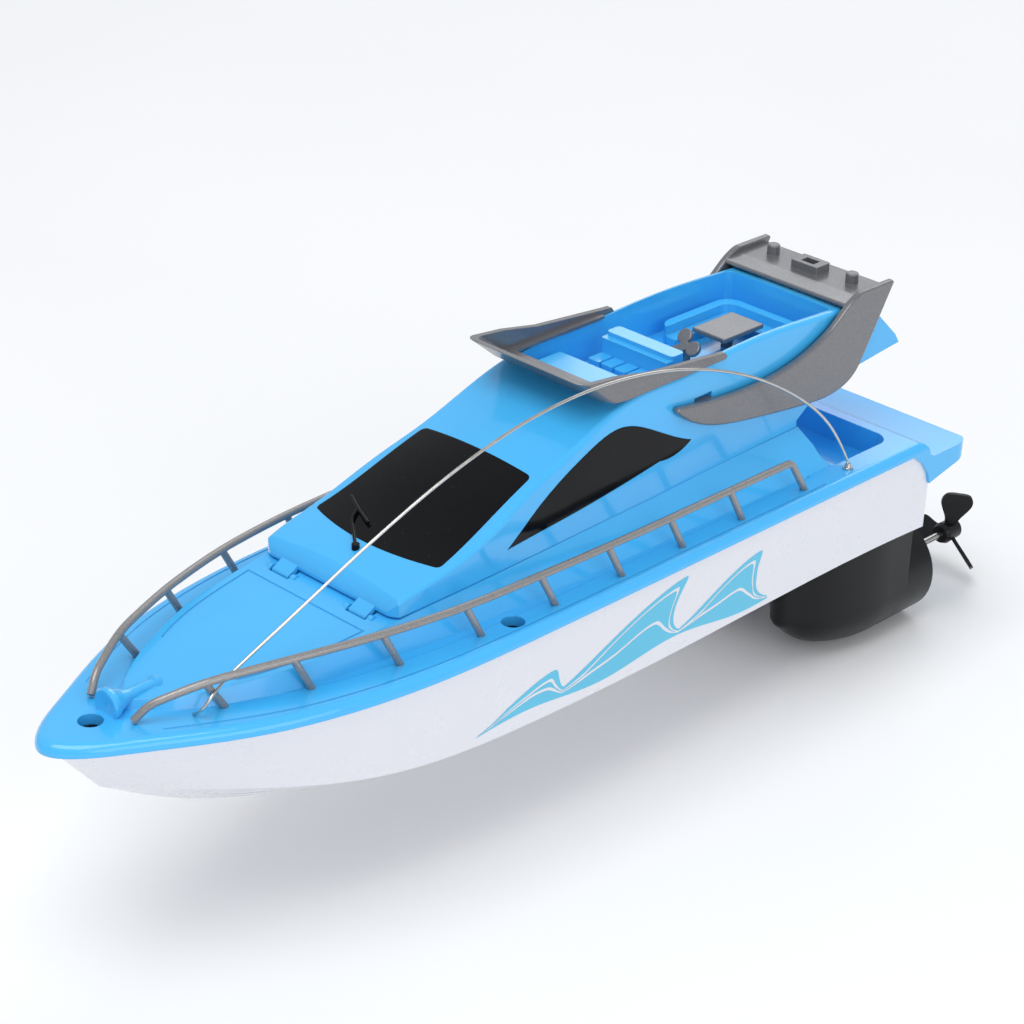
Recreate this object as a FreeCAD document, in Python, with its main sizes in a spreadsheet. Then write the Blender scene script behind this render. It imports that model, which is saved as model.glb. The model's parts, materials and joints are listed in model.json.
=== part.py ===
import FreeCAD, Part
import Sketcher
import functools
import math
import os
from FreeCAD import Vector

# Toy motor yacht. Working axes: +X to the bow, +Y to port, +Z up. The boat is drawn with its
# transom near x = 20 and its keel on z = 0, and each piece is then placed by the two datum
# cells, which bring the origin under the middle of the boat, level with its lowest point.

os.makedirs("parts", exist_ok=True)
doc = FreeCAD.newDocument("toy_boat")
sheet = doc.addObject("Spreadsheet::Sheet", "Sizes")

SIZES = {
    "bow_tip": 300.0, "prop_end": -22.0, "transom": 21.0,
    "sheer": 42.5, "deck_top": 45.4, "beam_half": 39.0,
    "hull_wall": 1.8, "deck_wall": 1.6, "cabin_wall": 1.6,
    "chine_height": 17.8, "chine_half": 38.0,
    "pod_radius": 14.6, "pod_offset": 20.5, "pod_axis": -3.8, "pod_back": 9.0,
    "pod_straight": 22.0, "pod_nose": 31.5, "pod_wall": 1.6,
    "shaft_radius": 1.0, "shaft_clearance": 0.04, "prop_radius": 13.4, "prop_hub_radius": 3.2,
    "prop_hub_length": 8.0, "blade_thick": 1.1, "blade_width": 9.4, "blade_pitch": 47.0,
    "bush_radius": 2.6, "bush_length": 5.0, "cap_thick": 2.0,
    "motor_radius": 10.0, "motor_length": 25.0, "motor_wall": 0.6, "motor_back": 19.0,
    "rail_radius": 1.0, "rail_height": 55.4, "wire_radius": 0.4, "ferrule_radius": 0.8,
    "platform_end": 3.0, "platform_top": 40.0, "platform_thick": 4.0,
    "cockpit_floor": 38.0, "bow_hole_radius": 3.0, "bow_hole_place": 285.8,
    "bridge_floor": 74.5, "hinge_place": 215.6,
    "hinge_height": 52.3, "knuckle_radius": 1.1, "hinge_pin_radius": 0.6,
    "arch_plate": 2.0, "arch_inner": 20.9, "peg_radius": 1.8, "peg_height": 3.0,
    "table_long": 16.5, "table_wide": 11.5, "table_thick": 1.2, "table_top": 80.3,
    "table_post_radius": 1.6, "table_place": 67.5,
    "cell_radius": 7.1, "cell_length": 49.0, "cell_pitch": 14.8, "tray_wall": 1.4,
    "tray_back": 96.0, "tray_floor": 12.0, "tray_height": 24.0,
    "board_long": 34.0, "board_wide": 24.0, "board_thick": 1.6, "board_back": 160.0,
    "board_height": 24.0, "board_post_radius": 2.4,
    "switch_long": 11.0, "switch_wide": 5.6, "switch_deep": 5.0, "switch_place": 80.0,
    "switch_travel": 3.0, "knob_long": 2.6, "knob_wide": 2.4, "knob_tall": 2.6,
    "screw_shank": 1.2, "screw_head": 2.5,
}
for row, (alias, value) in enumerate(SIZES.items(), start=1):
    sheet.set("A%d" % row, alias)
    sheet.set("B%d" % row, repr(value))
    sheet.setAlias("B%d" % row, alias)
row = len(SIZES) + 1
sheet.set("A%d" % row, "datum_x")
sheet.set("B%d" % row, "=-(bow_tip + prop_end) / 2")
sheet.setAlias("B%d" % row, "datum_x")
sheet.set("A%d" % (row + 1), "datum_z")
sheet.set("B%d" % (row + 1), "=pod_radius - pod_axis")
sheet.setAlias("B%d" % (row + 1), "datum_z")
doc.recompute()


def size(alias):
    """Value of a driving dimension, read from the sheet."""
    return float(sheet.get(alias))


PIECES = []
BOTH = (("port", 1), ("starboard", -1))


def place(piece, along="0", across="0", up="0"):
    """Put a finished piece in the boat's frame; the offsets are expressions on the sheet."""
    piece.setExpression("Placement.Base.x", "Sizes.datum_x + " + along)
    piece.setExpression("Placement.Base.y", across)
    piece.setExpression("Placement.Base.z", "Sizes.datum_z + " + up)
    PIECES.append(piece)


def freeform(label, shape):
    """A piece whose shape is worked out in code from the sheet's sizes."""
    if len(shape.Solids) == 1:
        shape = shape.Solids[0]
    piece = doc.addObject("Part::Feature", label)
    piece.Label = label
    piece.Shape = shape
    place(piece)
    return piece


def origin_plane(body, role):
    return [item for item in body.Origin.OriginFeatures if item.Role == role][0]


def outline_sketch(body, role, corners):
    """Closed polygon sketch; each corner is a pair of expressions bound to the sheet."""
    sketch = body.newObject("Sketcher::SketchObject", body.Name + "_outline")
    sketch.AttachmentSupport = [(origin_plane(body, role), "")]
    sketch.MapMode = "FlatFace"
    values = [tuple(evaluate(text) for text in corner) for corner in corners]
    points = [Vector(u, v, 0) for u, v in values]
    for i in range(len(corners)):
        sketch.addGeometry(Part.LineSegment(points[i], points[(i + 1) % len(corners)]), False)
    for i in range(len(corners)):
        sketch.addConstraint(Sketcher.Constraint("Coincident", i, 2, (i + 1) % len(corners), 1))
    for i, corner in enumerate(corners):
        for kind, axis, text, value in (("DistanceX", -2, corner[0], values[i][0]),
                                        ("DistanceY", -1, corner[1], values[i][1])):
            if abs(value) < 1e-9:
                sketch.addConstraint(Sketcher.Constraint("PointOnObject", i, 1, axis))
                continue
            number = sketch.addConstraint(Sketcher.Constraint(kind, -1, 1, i, 1, value))
            if not is_plain_number(text):
                sketch.setExpression("Constraints[%d]" % number, text)
    return sketch


def is_plain_number(text):
    return text.lstrip("-").replace(".", "", 1).isdigit()


def evaluate(text):
    """Value of an expression such as 'Sizes.a + Sizes.b / 2'."""
    if is_plain_number(text):
        return float(text)
    return float(sheet.evalExpression(text.replace("Sizes.", "")))


def lathe(label, corners, along="0", across="0", up="0"):
    """Turned piece: a profile of (distance along X, radius) pairs revolved about X."""
    body = doc.addObject("PartDesign::Body", label)
    body.Label = label
    sketch = outline_sketch(body, "XY_Plane", corners)
    turn = body.newObject("PartDesign::Revolution", label + "_turn")
    turn.Profile = sketch
    turn.ReferenceAxis = (sketch, ["H_Axis"])
    turn.Angle = 360.0
    doc.recompute()
    place(body, along, across, up)
    return body


def block(label, corners, height, role="XY_Plane", along="0", across="0", up="0"):
    """Flat piece: a polygon padded by a height given as an expression."""
    body = doc.addObject("PartDesign::Body", label)
    body.Label = label
    sketch = outline_sketch(body, role, corners)
    pad = body.newObject("PartDesign::Pad", label + "_pad")
    pad.Profile = sketch
    pad.setExpression("Length", height)
    doc.recompute()
    place(body, along, across, up)
    return body


def box(x0, x1, y0, y1, z0, z1):
    return Part.makeBox(x1 - x0, y1 - y0, z1 - z0, Vector(x0, y0, z0))


def prism_y(profile, y0, y1):
    """Extrude an (x, z) polygon from y0 to y1."""
    wire = Part.makePolygon([Vector(x, y0, z) for x, z in profile + profile[:1]])
    return Part.Face(wire).extrude(Vector(0, y1 - y0, 0))


def spline(points, start=None, end=None):
    curve = Part.BSplineCurve()
    if start:
        curve.interpolate(Points=points, InitialTangent=start, FinalTangent=end)
    else:
        curve.interpolate(Points=points)
    return curve.toShape()


def mirrored(shape):
    return shape.mirror(Vector(0, 0, 0), Vector(0, 1, 0))


def sewn(faces):
    """Closed solid from faces that meet edge to edge."""
    shell = Part.makeShell(faces)
    shell.sewShape()
    solid = Part.Solid(Part.Shell(shell.Faces))
    if solid.Volume < 0:
        solid.reverse()
    return solid


def slab(face, z0, z1):
    moved = face.copy()
    moved.translate(Vector(0, 0, z0 - face.BoundBox.ZMin))
    return moved.extrude(Vector(0, 0, z1 - z0))


def tube(points, radius, bends=None):
    """Round bar along straight runs joined by tangent arcs as large as the runs allow."""
    edges = []
    last = points[0]
    for i in range(1, len(points) - 1):
        before = (points[i - 1] - points[i])
        after = (points[i + 1] - points[i])
        half_turn = (math.pi - before.getAngle(after)) / 2.0
        reach = 0.45 * min(before.Length, after.Length)
        if bends and i in bends:
            reach = bends[i] * math.tan(half_turn)
        first = points[i] + before.normalize() * reach
        final = points[i] + after.normalize() * reach
        bisector = (before + after).normalize()
        arc_radius = reach / math.tan(half_turn)
        centre = points[i] + bisector * (arc_radius / math.cos(half_turn))
        middle = centre - bisector * arc_radius
        edges.append(Part.makeLine(last, first))
        edges.append(Part.Arc(first, middle, final).toShape())
        last = final
    edges.append(Part.makeLine(last, points[-1]))
    path = Part.Wire(edges)
    profile = Part.Wire(Part.makeCircle(radius, points[0], (points[1] - points[0])))
    return path.makePipeShell([profile], True, True)


# ---------------------------------------------------------------- hull ----
# Table of offsets, port side: station, then half breadth and height at the chine, then keel.
CHINE = [(0.0, 1.0, 0.0), (99.0, 1.0, 0.0), (157.0, 0.982, 0.0), (189.0, 0.91, 0.4),
         (210.0, 0.815, 2.6), (229.0, 0.648, 5.8), (245.0, 0.41, 8.0), (256.5, 0.17, 8.9),
         (263.0, 0.0, 9.2)]
KEEL = [(0.0, 0.0), (120.0, 0.0), (172.0, 0.0), (195.0, 0.8), (210.0, 2.8), (227.0, 8.3),
        (243.0, 15.4), (255.0, 22.2), (263.0, 27.0)]
SEAM = [(0.0, 38.2), (99.0, 38.2), (159.0, 38.0), (190.0, 36.8), (212.0, 33.7), (232.0, 28.0),
        (249.0, 19.8), (261.0, 13.5), (270.0, 8.6), (276.4, 0.0)]
EDGE = [(0.0, 39.0), (99.0, 39.0), (159.0, 38.9), (192.0, 37.7), (214.0, 34.5), (234.0, 28.9),
        (251.0, 21.0), (264.0, 13.8), (274.0, 7.6), (279.0, 0.0)]


@functools.lru_cache(maxsize=None)
def hull_volume(inset, top):
    """Closed hull form, drawn in by a wall thickness and raised to a given top."""
    x0 = size("transom") + inset
    reach = (CHINE[-1][0] - 2.2 * inset) / CHINE[-1][0]
    chine = []
    for along, ratio, rise in CHINE:
        half = max(size("chine_half") * ratio - inset * (1.0 if ratio > 0 else 0.0), 0.0)
        chine.append(Vector(x0 + along * reach, half, size("chine_height") + rise + inset * 0.6))
    keel = []
    for along, rise in KEEL:
        keel.append(Vector(x0 + along * reach, 0, rise + inset * 1.15))
    keel[-1] = Vector(chine[-1])
    seam = []
    for along, half in SEAM:
        seam.append(Vector(x0 + along * (SEAM[-1][0] - 1.5 * inset) / SEAM[-1][0],
                           max(half - inset, 0.0), top))
    chine_edge = spline(chine)
    keel_edge = spline(keel)
    seam_edge = spline(seam, Vector(1, 0, 0), Vector(0, -1, 0))
    side = Part.makeRuledSurface(chine_edge, seam_edge)
    bottom = Part.makeRuledSurface(keel_edge, chine_edge)
    deck_face = Part.Face(Part.Wire([seam_edge, mirrored(seam_edge),
                                     Part.makeLine(mirrored(seam_edge).Vertexes[0].Point, seam[0])]))
    rear = Part.makePolygon([seam[0], chine[0], keel[0], Vector(chine[0].x, -chine[0].y, chine[0].z),
                             Vector(seam[0].x, -seam[0].y, seam[0].z), seam[0]])
    faces = [side, bottom, mirrored(side), mirrored(bottom), deck_face, Part.Face(rear)]
    return sewn(faces)


def wide_prism(profile):
    """An (x, z) outline carried right across the boat."""
    return prism_y(profile, -60.0, 60.0)


SKIRT = [(size("transom") - 9.0, 31.9), (size("transom") + 0.6, 31.9), (size("transom") + 1.6, 35.0),
         (size("transom") + 4.4, 39.0), (size("transom") + 9.0, size("sheer") + 0.001),
         (size("transom") + 9.0, size("sheer") + 9.0), (size("transom") - 9.0, size("sheer") + 9.0)]
POST_PLACES = [(88.0, 13.0), (88.0, -13.0), (212.0, 12.0), (212.0, -12.0)]
POST_SPLIT = 24.0
POD_SCREWS = [50.5, 56.0]
POD_LEAD = 46.0
POD_SEAT = 15.0
BOARD_POSTS = [164.0, 190.0]


def upright(x, y, radius, z0, z1):
    return Part.makeCylinder(radius, z1 - z0, Vector(x, y, z0))


def hull_bottom(y):
    """Height of the outside of the V bottom amidships at a distance from the keel."""
    return size("chine_height") * abs(y) / size("chine_half")


def make_hull():
    shell = hull_volume(0.0, size("sheer"))
    cavity = hull_volume(size("hull_wall"), size("sheer") + 6.0)
    posts = [upright(x, y, 3.4, 0.0, POST_SPLIT) for x, y in POST_PLACES]
    posts += [upright(x, 0, size("board_post_radius"), 0.0, size("board_height")) for x in BOARD_POSTS]
    for name, side in BOTH:
        posts += [upright(x, side * size("pod_offset"), 3.2, 0.0, POD_SEAT) for x in POD_SCREWS]
    hull = shell.cut(cavity).fuse([post.common(shell) for post in posts]).cut(wide_prism(SKIRT))
    for x in BOARD_POSTS:
        hull = hull.cut(upright(x, 0, size("screw_shank"), size("board_height") - 12.0, 40.0))
    for x, y in POST_PLACES:
        seat = hull_bottom(y) + 7.0
        hull = hull.cut(upright(x, y, size("screw_head") + 0.3, -2.0, seat))
        hull = hull.cut(upright(x, y, size("screw_shank") + 0.3, seat - 1.0, POST_SPLIT + 1.0))
    for name, side in BOTH:
        for x in POD_SCREWS:
            hull = hull.cut(upright(x, side * size("pod_offset"), size("screw_shank") + 0.2, 2.0, 22.0))
        hull = hull.cut(upright(POD_LEAD, side * size("pod_offset"), 1.6, 2.0, 22.0))
    return hull.removeSplitter()


# ---------------------------------------------------------------- deck ----
# Raised trunk: station, half breadth where it meets the walkway, half breadth and height on top.
TRUNK_FOOT = [(55.0, 31.6), (100.0, 30.6), (150.0, 29.6), (182.0, 28.4), (208.0, 26.6),
              (226.0, 24.0), (244.0, 21.3), (257.0, 16.6), (270.0, 10.0), (279.5, 0.0)]
TRUNK_TOP = [(60.0, 20.6, 55.0), (100.0, 21.4, 54.7), (150.0, 22.8, 54.2), (182.0, 23.7, 53.9),
             (196.0, 23.9, 53.75), (208.0, 23.7, 53.5), (222.0, 22.6, 52.3), (240.0, 20.2, 50.6),
             (254.0, 15.6, 49.3), (267.0, 9.0, 48.1), (276.5, 0.0, 47.3)]


@functools.lru_cache(maxsize=None)
def deck_outline(inset=0.0):
    stretch = (EDGE[-1][0] - 1.5 * inset) / EDGE[-1][0]
    edge = spline([Vector(size("transom") + along * stretch, max(half - inset, 0.0), 0)
                   for along, half in EDGE], Vector(1, 0, 0), Vector(0, -1, 0))
    far = mirrored(edge)
    stern = Part.makeLine(far.Vertexes[0].Point, edge.Vertexes[0].Point)
    return Part.Face(Part.Wire([edge, far, stern]))


@functools.lru_cache(maxsize=None)
def trunk_volume(inset):
    foot = [Vector(x + (inset if i == 0 else 0), max(half - inset, 0.0), size("sheer") + 1.0 - inset)
            for i, (x, half) in enumerate(TRUNK_FOOT)]
    top = [Vector(x + (inset if i == 0 else 0), max(half - 0.7 * inset, 0.0), height - inset)
           for i, (x, half, height) in enumerate(TRUNK_TOP)]
    foot[-1].x -= 2.0 * inset
    top[-1].x -= 2.0 * inset
    foot_edge = spline(foot)
    top_edge = spline(top)
    side = Part.makeRuledSurface(foot_edge, top_edge)
    roof = Part.makeRuledSurface(top_edge, mirrored(top_edge))
    base = Part.Face(Part.Wire([foot_edge, mirrored(foot_edge),
                                Part.makeLine(mirrored(foot_edge).Vertexes[0].Point, foot[0])]))
    rear = Part.makePolygon([foot[0], top[0], Vector(top[0].x, -top[0].y, top[0].z),
                             Vector(foot[0].x, -foot[0].y, foot[0].z), foot[0]])
    return sewn([side, mirrored(side), roof, base, Part.Face(rear)])


def rounded_rectangle(x0, x1, y0, y1, radius, z):
    corners = [(x1 - radius, y1 - radius, 0), (x0 + radius, y1 - radius, 90),
               (x0 + radius, y0 + radius, 180), (x1 - radius, y0 + radius, 270)]
    edges = []
    points = []
    for cx, cy, turn in corners:
        arc = []
        for step in (0, 45, 90):
            angle = math.radians(turn + step)
            arc.append(Vector(cx + radius * math.cos(angle), cy + radius * math.sin(angle), z))
        points.append(arc)
    for i, arc in enumerate(points):
        edges.append(Part.Arc(*arc).toShape())
        edges.append(Part.makeLine(arc[2], points[(i + 1) % 4][0]))
    return Part.Face(Part.Wire(edges))


def rounded_block(x0, x1, y0, y1, z0, z1, radius):
    return rounded_rectangle(x0, x1, y0, y1, radius, z0).extrude(Vector(0, 0, z1 - z0))


COCKPIT = (30.0, 58.0, 30.5)
HATCH = (97.0, 200.0, 17.0)


# The deck's step down to the stern platform, from the deck's top aft (x, z).
STEP = [(26.6, size("deck_top")), (24.8, size("deck_top") - 0.5), (23.3, size("deck_top") - 2.1),
        (22.2, size("platform_top") + 1.0), (20.4, size("platform_top"))]


def platform_volume():
    """Stern platform with the skirt that wraps the transom."""
    end = size("platform_end")
    top = size("platform_top")
    low = top - size("platform_thick")
    beam = size("beam_half")
    profile = [(end + 1.0, top), (end, top - 0.9), (end, low + 0.6), (end + 1.4, low - 0.3)] + SKIRT[1:5]
    profile += [(SKIRT[4][0], size("sheer") + 0.5), (23.2, size("sheer") + 0.5)] + STEP[3:]
    plan = rounded_block(end, SKIRT[4][0] + 6.0, -beam, beam, 30.0, 46.0, 6.0)
    corner = box(SKIRT[4][0] - 5.0, SKIRT[4][0] + 7.0, -beam, beam, 30.0, 46.0)
    return wide_prism(profile).common(plan.fuse(corner))


def walkway_line(inset):
    """Thin groove that follows the deck edge along the walkway."""
    z0 = size("deck_top") - 0.2
    z1 = size("deck_top") + 1.0
    band = slab(deck_outline(inset), z0, z1).cut(slab(deck_outline(inset + 0.4), z0 - 1.0, z1 + 1.0))
    return band.cut(trunk_volume(0.0)).common(box(66.0, 276.0, -50.0, 50.0, z0 - 1.0, z1 + 1.0))


def panel_outline(inset):
    edge = spline([Vector(x, half - inset, 0) for x, half, height in TRUNK_TOP[4:9]])
    far = mirrored(edge)
    back = Part.makeLine(far.Vertexes[0].Point, edge.Vertexes[0].Point)
    front = Part.makeLine(edge.Vertexes[1].Point, far.Vertexes[1].Point)
    face = Part.Face(Part.Wire([edge, front, far, back]))
    return slab(face, 40.0, 60.0).common(box(218.6 + inset, 264.5 - inset, -50.0, 50.0, 40.0, 60.0))


def panel_line():
    """Border groove of the raised foredeck panel."""
    band = panel_outline(2.0).cut(panel_outline(2.5))
    return band.cut(trunk_volume(0.25))


def horn():
    """Moulded ship's horn lying on the foredeck, bell forward."""
    profile = [(266.0, 0.0), (266.0, 1.7), (266.6, 2.1), (267.4, 2.1), (268.0, 1.5), (274.5, 1.6),
               (277.5, 2.5), (280.0, 4.0), (281.0, 4.2), (281.6, 3.7), (280.6, 0.0)]
    wire = Part.makePolygon([Vector(x, 0, r) for x, r in profile] + [Vector(266.0, 0, 0)])
    turned = Part.Face(wire).revolve(Vector(0, 0, 0), Vector(1, 0, 0), 360)
    turned.translate(Vector(0, 0, 47.6))
    return turned.cut(box(250.0, 290.0, -10.0, 10.0, 30.0, size("sheer") + 1.2))


def make_deck():
    outline = deck_outline()
    plate = slab(outline, size("sheer"), size("deck_top"))
    rim = [edge for edge in plate.Edges
           if edge.BoundBox.ZMin > size("deck_top") - 0.01 and edge.BoundBox.YLength > 20.0
           and edge.BoundBox.XLength > 50.0]
    plate = plate.makeFillet(2.4, rim)
    plate = plate.cut(wide_prism(STEP[:3] + [(22.8, size("sheer") - 0.5), (10.0, size("sheer") - 0.5),
                                             (10.0, 50.0), (STEP[0][0], 50.0)]))
    trunk = trunk_volume(0.0)
    tub = rounded_block(COCKPIT[0] - 1.8, COCKPIT[1] + 3.0, -COCKPIT[2] - 1.6, COCKPIT[2] + 1.6,
                        size("cockpit_floor") - 1.6, size("sheer") + 1.0, 6.6)
    deck = plate.fuse([trunk, tub, platform_volume(), horn()])
    hollow = trunk_volume(size("deck_wall"))
    hollow = hollow.cut(box(0.0, COCKPIT[1] + 3.0, -50.0, 50.0, 20.0, 70.0))
    deck = deck.cut(hollow)
    for x, y in POST_PLACES:
        post = upright(x, y, 3.0, POST_SPLIT, 54.4).common(post_space())
        deck = deck.fuse(post).cut(upright(x, y, size("screw_shank"), POST_SPLIT - 1.0, 36.0))
    well = rounded_block(COCKPIT[0], COCKPIT[1], -COCKPIT[2], COCKPIT[2], size("cockpit_floor"), 70.0, 5.0)
    deck = deck.cut(well)
    deck = deck.cut(rounded_block(HATCH[0], HATCH[1], -HATCH[2], HATCH[2], 40.0, 70.0, 4.0))
    deck = deck.cut(upright(size("bow_hole_place"), 0, size("bow_hole_radius"), 40.0, 50.0))
    for name, side in BOTH:
        deck = deck.cut(upright(182.2, side * 32.4, 3.0, 40.0, 50.0))
        low, high = sorted((side * 8.8, side * 18.6))
        deck = deck.fuse(hinge_rod(low, high, 1.2))
        low, high = sorted((side * 10.2, side * 17.2))
        deck = deck.cut(box(size("hinge_place") - 2.5, size("hinge_place") + 1.7, low, high, 50.0, 56.0))
        low, high = sorted((side * 9.4, side * 18.0))
        deck = deck.cut(hinge_rod(low, high, size("hinge_pin_radius") + 0.05))
    deck = deck.cut(upright(WIRE_BASE[0], WIRE_BASE[1], size("ferrule_radius"), 40.0, 50.0))
    for inset in (2.6, 8.2):
        deck = deck.cut(walkway_line(inset))
    deck = deck.cut(panel_line())
    deck = deck.cut(switch_slot())
    return deck.removeSplitter()


def hinge_rod(low, high, radius):
    """Cylinder on the cover's hinge line, between two distances across the boat."""
    centre = Vector(size("hinge_place"), low, size("hinge_height"))
    return Part.makeCylinder(radius, high - low, centre, Vector(0, 1, 0))


def post_space():
    return trunk_volume(0.4).fuse(box(60.0, 260.0, -30.0, 30.0, 10.0, 45.0))


def switch_slot():
    x = size("switch_place")
    reach = (size("knob_long") + size("switch_travel")) / 2.0 + 0.3
    return box(x - reach, x + reach, -size("knob_wide") / 2.0 - 0.3, size("knob_wide") / 2.0 + 0.3,
               48.0, 60.0)


# --------------------------------------------------------------- cabin ----
# Sections from the front lip aft: station, half breadth and height of the seam, half breadth
# and height of the shoulder, and how far the roof is crowned above the shoulder.
CABIN_SECTIONS = [(213.4, 23.5, 53.8, 23.0, 57.4, 0.6), (203.0, 23.6, 53.9, 24.0, 59.9, 1.1),
                  (190.0, 23.6, 54.0, 24.3, 63.0, 2.0), (176.0, 23.5, 54.15, 23.4, 68.1, 2.5),
                  (161.0, 23.2, 54.3, 21.6, 73.6, 2.2), (146.0, 22.8, 54.4, 21.2, 79.1, 1.5),
                  (133.0, 22.5, 54.5, 20.6, 83.4, 0.5), (120.0, 22.2, 54.6, 20.2, 84.9, 0.3),
                  (94.0, 21.3, 54.8, 19.7, 85.6, 0.2), (60.0, 20.5, 55.1, 19.9, 85.7, 0.2),
                  (40.0, 20.3, 55.2, 20.1, 84.6, 0.2), (15.0, 20.3, 55.2, 20.3, 84.0, 0.2)]
SHOULDER = 1.2
CABIN_BACK = 60.5
BRIDGE = (46.3, 131.5, 18.1)
# Side outline of the cover, from the seam under the roof overhang up and over to the front lip.
CABIN_PROFILE = [(213.4, 50.0), (CABIN_BACK, 50.0), (CABIN_BACK, 57.0), (52.0, 62.5), (33.4, 65.7),
                 (16.6, 67.4), (18.4, 70.2), (34.0, 85.0), (36.0, 95.0), (205.0, 95.0), (206.8, 60.2)]
LIP_CURVE = [(211.7, 57.9), (213.4, 54.6)]


def section(x, seam_half, seam_height, half, height, crown, inset):
    """Trapezium with round shoulders and an arched roof, shrunk by inset."""
    half -= inset
    height -= inset
    foot = Vector(x, seam_half - inset, seam_height)
    side = (Vector(x, half, height) - foot).normalize()
    low = Vector(x, half, height) - side * SHOULDER
    bend = Vector(x, half - 0.3 * SHOULDER, height - 0.3 * SHOULDER + 0.9 * crown * SHOULDER / half)
    high = Vector(x, half - SHOULDER, height + 1.6 * crown * SHOULDER / half)
    far = [Vector(point.x, -point.y, point.z) for point in (foot, low, bend, high)]
    return Part.Wire([Part.makeLine(foot, low), Part.Arc(low, bend, high).toShape(),
                      Part.Arc(high, Vector(x, 0, height + crown), far[3]).toShape(),
                      Part.Arc(far[3], far[2], far[1]).toShape(), Part.makeLine(far[1], far[0]),
                      Part.makeLine(far[0], foot)])


@functools.lru_cache(maxsize=None)
def cabin_loft(inset):
    return Part.makeLoft([section(*row, inset) for row in CABIN_SECTIONS], True, False)


@functools.lru_cache(maxsize=None)
def cabin_volume(inset=0.0):
    corners = [Vector(x, -60.0, z) for x, z in CABIN_PROFILE]
    bend, foot = [Vector(x, -60.0, z) for x, z in LIP_CURVE]
    edges = [Part.makeLine(first, second) for first, second in zip(corners, corners[1:])]
    edges += [Part.Arc(corners[-1], bend, foot).toShape(), Part.makeLine(foot, corners[0])]
    body = cabin_loft(inset).common(Part.Face(Part.Wire(edges)).extrude(Vector(0, 120.0, 0)))
    return body.common(cabin_plan())


def cabin_plan():
    """Upright prism that rounds the two front corners of the cover in plan."""
    near = [Vector(209.2, 24.5, 40.0), Vector(212.2, 23.0, 40.0), Vector(213.4, 20.0, 40.0)]
    far = [Vector(point.x, -point.y, point.z) for point in near]
    wide = Vector(204.0, 40.0, 40.0)
    back = Vector(0.0, 40.0, 40.0)
    loop = [back, wide, near[0]]
    edges = [Part.makeLine(first, second) for first, second in zip(loop, loop[1:])]
    edges.append(Part.Arc(*near).toShape())
    edges.append(Part.makeLine(near[2], far[2]))
    edges.append(Part.Arc(far[2], far[1], far[0]).toShape())
    loop = [far[0], Vector(wide.x, -wide.y, wide.z), Vector(back.x, -back.y, back.z), back]
    edges += [Part.makeLine(first, second) for first, second in zip(loop, loop[1:])]
    return Part.Face(Part.Wire(edges)).extrude(Vector(0, 0, 60.0))


def inner_cabin():
    wall = size("cabin_wall")
    hollow = cabin_loft(wall).common(box(CABIN_BACK + wall, 213.4 - wall, -40.0, 40.0, 50.0, 100.0))
    return hollow.cut(box(20.0, BRIDGE[1] + 1.6, -40.0, 40.0, size("bridge_floor") - 1.6, 100.0))


def windscreen_prism(gap=0.0):
    top_x, top_half = 163.2, 18.9
    low_x, low_half, bulge = 197.4, 21.8, 4.0
    port_top = Vector(top_x - gap, top_half + gap, 55.0)
    far_top = Vector(top_x - gap, -top_half - gap, 55.0)
    port_low = Vector(low_x + gap, low_half + gap, 55.0)
    far_low = Vector(low_x + gap, -low_half - gap, 55.0)
    wire = Part.Wire([Part.makeLine(port_low, port_top),
                      Part.Arc(port_top, Vector(top_x - gap + 0.6, 0, 55.0), far_top).toShape(),
                      Part.makeLine(far_top, far_low),
                      Part.Arc(far_low, Vector(low_x + bulge + gap, 0, 55.0), port_low).toShape()])
    prism = Part.Face(wire).extrude(Vector(0, 0, 30.0))
    uprights = [edge for edge in prism.Edges if edge.BoundBox.ZLength > 20 and edge.BoundBox.XLength < 0.1]
    return prism.makeFillet(1.6, uprights)


# Outline points (x, z) of the side window, each with the direction that leads out of it.
WINDOW_TIP = (175.6, 59.2, 1.0, -0.5)
WINDOW_BROW = [(161.0, 67.9, 0.5, 0.87), (146.0, 75.0, 0.4, 0.92), (134.0, 77.8, 0.0, 1.0),
               (121.0, 73.4, -0.4, 0.92)]
WINDOW_BACK = (105.4, 65.8, -1.0, 0.2)
WINDOW_HEEL = (109.0, 64.3, -0.5, -0.87)
WINDOW_SILL = [(118.0, 63.8, -0.1, -1.0), (148.0, 60.7, 0.0, -1.0)]


def side_window_prism(side, gap=0.0):
    """Long teardrop: low pointed front, arched top and a short slanted back."""
    def point(x, z, out_x, out_z):
        return Vector(x + gap * out_x, side * 15.0, z + gap * out_z)

    tip = point(*WINDOW_TIP)
    back = point(*WINDOW_BACK)
    sill = point(*WINDOW_SILL[0])
    over = spline([tip] + [point(*row) for row in WINDOW_BROW] + [back])
    wire = Part.Wire([over, Part.Arc(back, point(*WINDOW_HEEL), sill).toShape(),
                      Part.Arc(sill, point(*WINDOW_SILL[1]), tip).toShape()])
    return Part.Face(wire).extrude(Vector(0, side * 20.0, 0))


VISOR_LOW, VISOR_HIGH = 83.0, 95.0


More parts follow.
